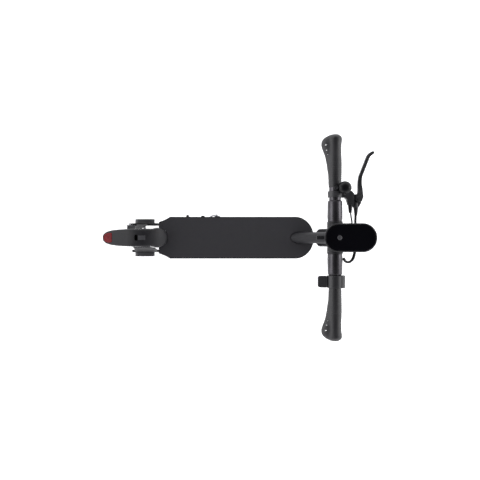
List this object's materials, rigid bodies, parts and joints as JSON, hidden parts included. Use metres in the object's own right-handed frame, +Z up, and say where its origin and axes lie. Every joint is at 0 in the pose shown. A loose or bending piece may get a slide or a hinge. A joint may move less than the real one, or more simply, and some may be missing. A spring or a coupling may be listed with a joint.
{
  "type": "electric kick scooter",
  "caption": "Folding electric kick scooter with a flat deck, front hub motor, rear disc brake, tail light, and a handlebar with oval display, brake lever, bell and thumb throttle.",
  "frame": {"origin": "on the floor under the middle of the overall length, where the tyres' lowest flats lie", "axes": "+X forward, +Y to the rider's left, +Z up"},
  "size_m": [1.1, 0.462, 1.1405],
  "materials": {
    "frame_paint": "satin black powder coat",
    "bar_alloy": "satin black anodised",
    "black_plastic": "fine moulded grain",
    "guard_plastic": "semi gloss black",
    "grip_rubber": "soft matt with fine ribs",
    "mat_rubber": "matt grit",
    "tyre": "matt black",
    "cable_rubber": "satin black sheath",
    "steel": "zinc plated",
    "disc_steel": "ground ring",
    "screen_glass": "high gloss black",
    "red_lens": "polished red",
    "clear_lens": "clear",
    "cell_wrap": "heat shrink film",
    "grey_plastic": "satin charcoal",
    "lever_alloy": "satin grey anodised",
    "gloss_black": "polished black",
    "hub_alloy": "dark cast"
  },
  "bodies": {
    "chassis": {"deck_frame": "frame_paint", "deck_bottom_cover": "black_plastic", "deck_mat": "mat_rubber", "battery_pack": "cell_wrap", "motor_controller": "hub_alloy", "neck_tube": "frame_paint", "head_tube": "frame_paint", "headset_bearing_lower": "steel", "headset_bearing_upper": "steel", "rear_axle": "steel", "dropout_left": "frame_paint", "dropout_right": "frame_paint", "axle_cover_left": "grey_plastic", "axle_cover_right": "grey_plastic", "rear_mudguard": "guard_plastic", "tail_light_lens": "red_lens", "mudguard_stay_left": "frame_paint", "mudguard_stay_right": "frame_paint", "brake_caliper": "hub_alloy", "brake_cable_rear": "cable_rubber", "kickstand_bracket": "frame_paint"},
    "rear_wheel": {"rear_tyre": "tyre", "rear_rim": "hub_alloy", "rear_bearing_left": "steel", "rear_bearing_right": "steel", "brake_disc": "disc_steel"},
    "brake_arm": {"caliper_arm": "disc_steel"},
    "kickstand": {"kickstand_leg": "steel"},
    "charge_flap": {"charge_cap": "cable_rubber"},
    "steering": {"fork": "frame_paint", "fork_cover_left": "black_plastic", "fork_cover_right": "black_plastic", "front_mudguard": "guard_plastic", "stator_and_axle": "steel", "fold_base": "frame_paint", "fold_pin": "steel"},
    "front_wheel": {"front_tyre": "tyre", "hub_motor_shell": "hub_alloy", "hub_motor_lid": "hub_alloy"},
    "stem": {"stem_foot": "frame_paint", "stem_tube": "frame_paint", "stem_head": "frame_paint", "stowing_hook": "gloss_black", "handlebar": "bar_alloy", "grip_left": "grip_rubber", "grip_right": "grip_rubber", "display_housing": "black_plastic", "display_glass": "screen_glass", "headlight_housing": "black_plastic", "headlight_lens": "clear_lens", "lever_bracket": "black_plastic", "bell_dome": "gloss_black", "throttle_housing": "black_plastic", "brake_cable_bar": "cable_rubber", "sensor_wire": "cable_rubber"},
    "latch": {"fold_latch": "bar_alloy"},
    "lever": {"brake_lever": "lever_alloy"},
    "striker": {"bell_striker": "black_plastic"},
    "throttle": {"throttle_paddle": "black_plastic"},
    "button": {"power_button": "screen_glass"}
  },
  "joints": [
    {"name": "steer", "type": "hinge", "parent": "chassis", "child": "steering", "pos_m": [0.422, 0, 0.108], "axis": [-0.2079, 0, 0.9781], "range_deg": [-50, 50]},
    {"name": "front_wheel_spin", "type": "hinge", "parent": "steering", "child": "front_wheel", "pos_m": [0.442, 0, 0.108], "axis": [0, 1, 0], "continuous": true},
    {"name": "rear_wheel_spin", "type": "hinge", "parent": "chassis", "child": "rear_wheel", "pos_m": [-0.397, 0, 0.108], "axis": [0, 1, 0], "continuous": true},
    {"name": "fold", "type": "hinge", "parent": "steering", "child": "stem", "pos_m": [0.33231, 0, 0.35679], "axis": [0, -1, 0], "range_deg": [0, 87.4]},
    {"name": "latch_turn", "type": "hinge", "parent": "stem", "child": "latch", "pos_m": [0.39398, 0, 0.39852], "axis": [0, -1, 0], "range_deg": [0, 100]},
    {"name": "lever_pull", "type": "hinge", "parent": "stem", "child": "lever", "pos_m": [0.26776, 0.09, 1.0844], "axis": [0, 0, 1], "range_deg": [0, 20], "stiffness_Nm_per_rad": 0.6, "springref_deg": -11.46},
    {"name": "caliper_pull", "type": "hinge", "parent": "chassis", "child": "brake_arm", "pos_m": [-0.443, 0.0515, 0.142], "axis": [0, 1, 0], "range_deg": [0, 20]},
    {"name": "throttle_press", "type": "hinge", "parent": "stem", "child": "throttle", "pos_m": [0.21326, -0.09875, 1.09006], "axis": [0, -1, 0], "range_deg": [0, 40], "stiffness_Nm_per_rad": 0.05, "springref_deg": -11.46},
    {"name": "bell_strike", "type": "hinge", "parent": "stem", "child": "striker", "pos_m": [0.23196, 0.1105, 1.1054], "axis": [0, 0, -1], "range_deg": [0, 25], "stiffness_Nm_per_rad": 0.01, "springref_deg": -5.73},
    {"name": "button_press", "type": "slide", "parent": "stem", "child": "button", "axis": [0.2079, 0, -0.9781], "range_m": [0, 0.001], "stiffness_N_per_m": 300, "springref_m": -0.0005},
    {"name": "kickstand_turn", "type": "hinge", "parent": "chassis", "child": "kickstand", "pos_m": [-0.098, 0.093, 0.104], "axis": [0, -1, 0], "range_deg": [0, 121]},
    {"name": "charge_flap_lift", "type": "hinge", "parent": "chassis", "child": "charge_flap", "pos_m": [-0.153, 0.0853, 0.1395], "axis": [1, 0, 0], "range_deg": [0, 90]}
  ],
  "couplings": [
    {"joint": "caliper_pull", "follows": "lever_pull", "ratio": 1}
  ]
}
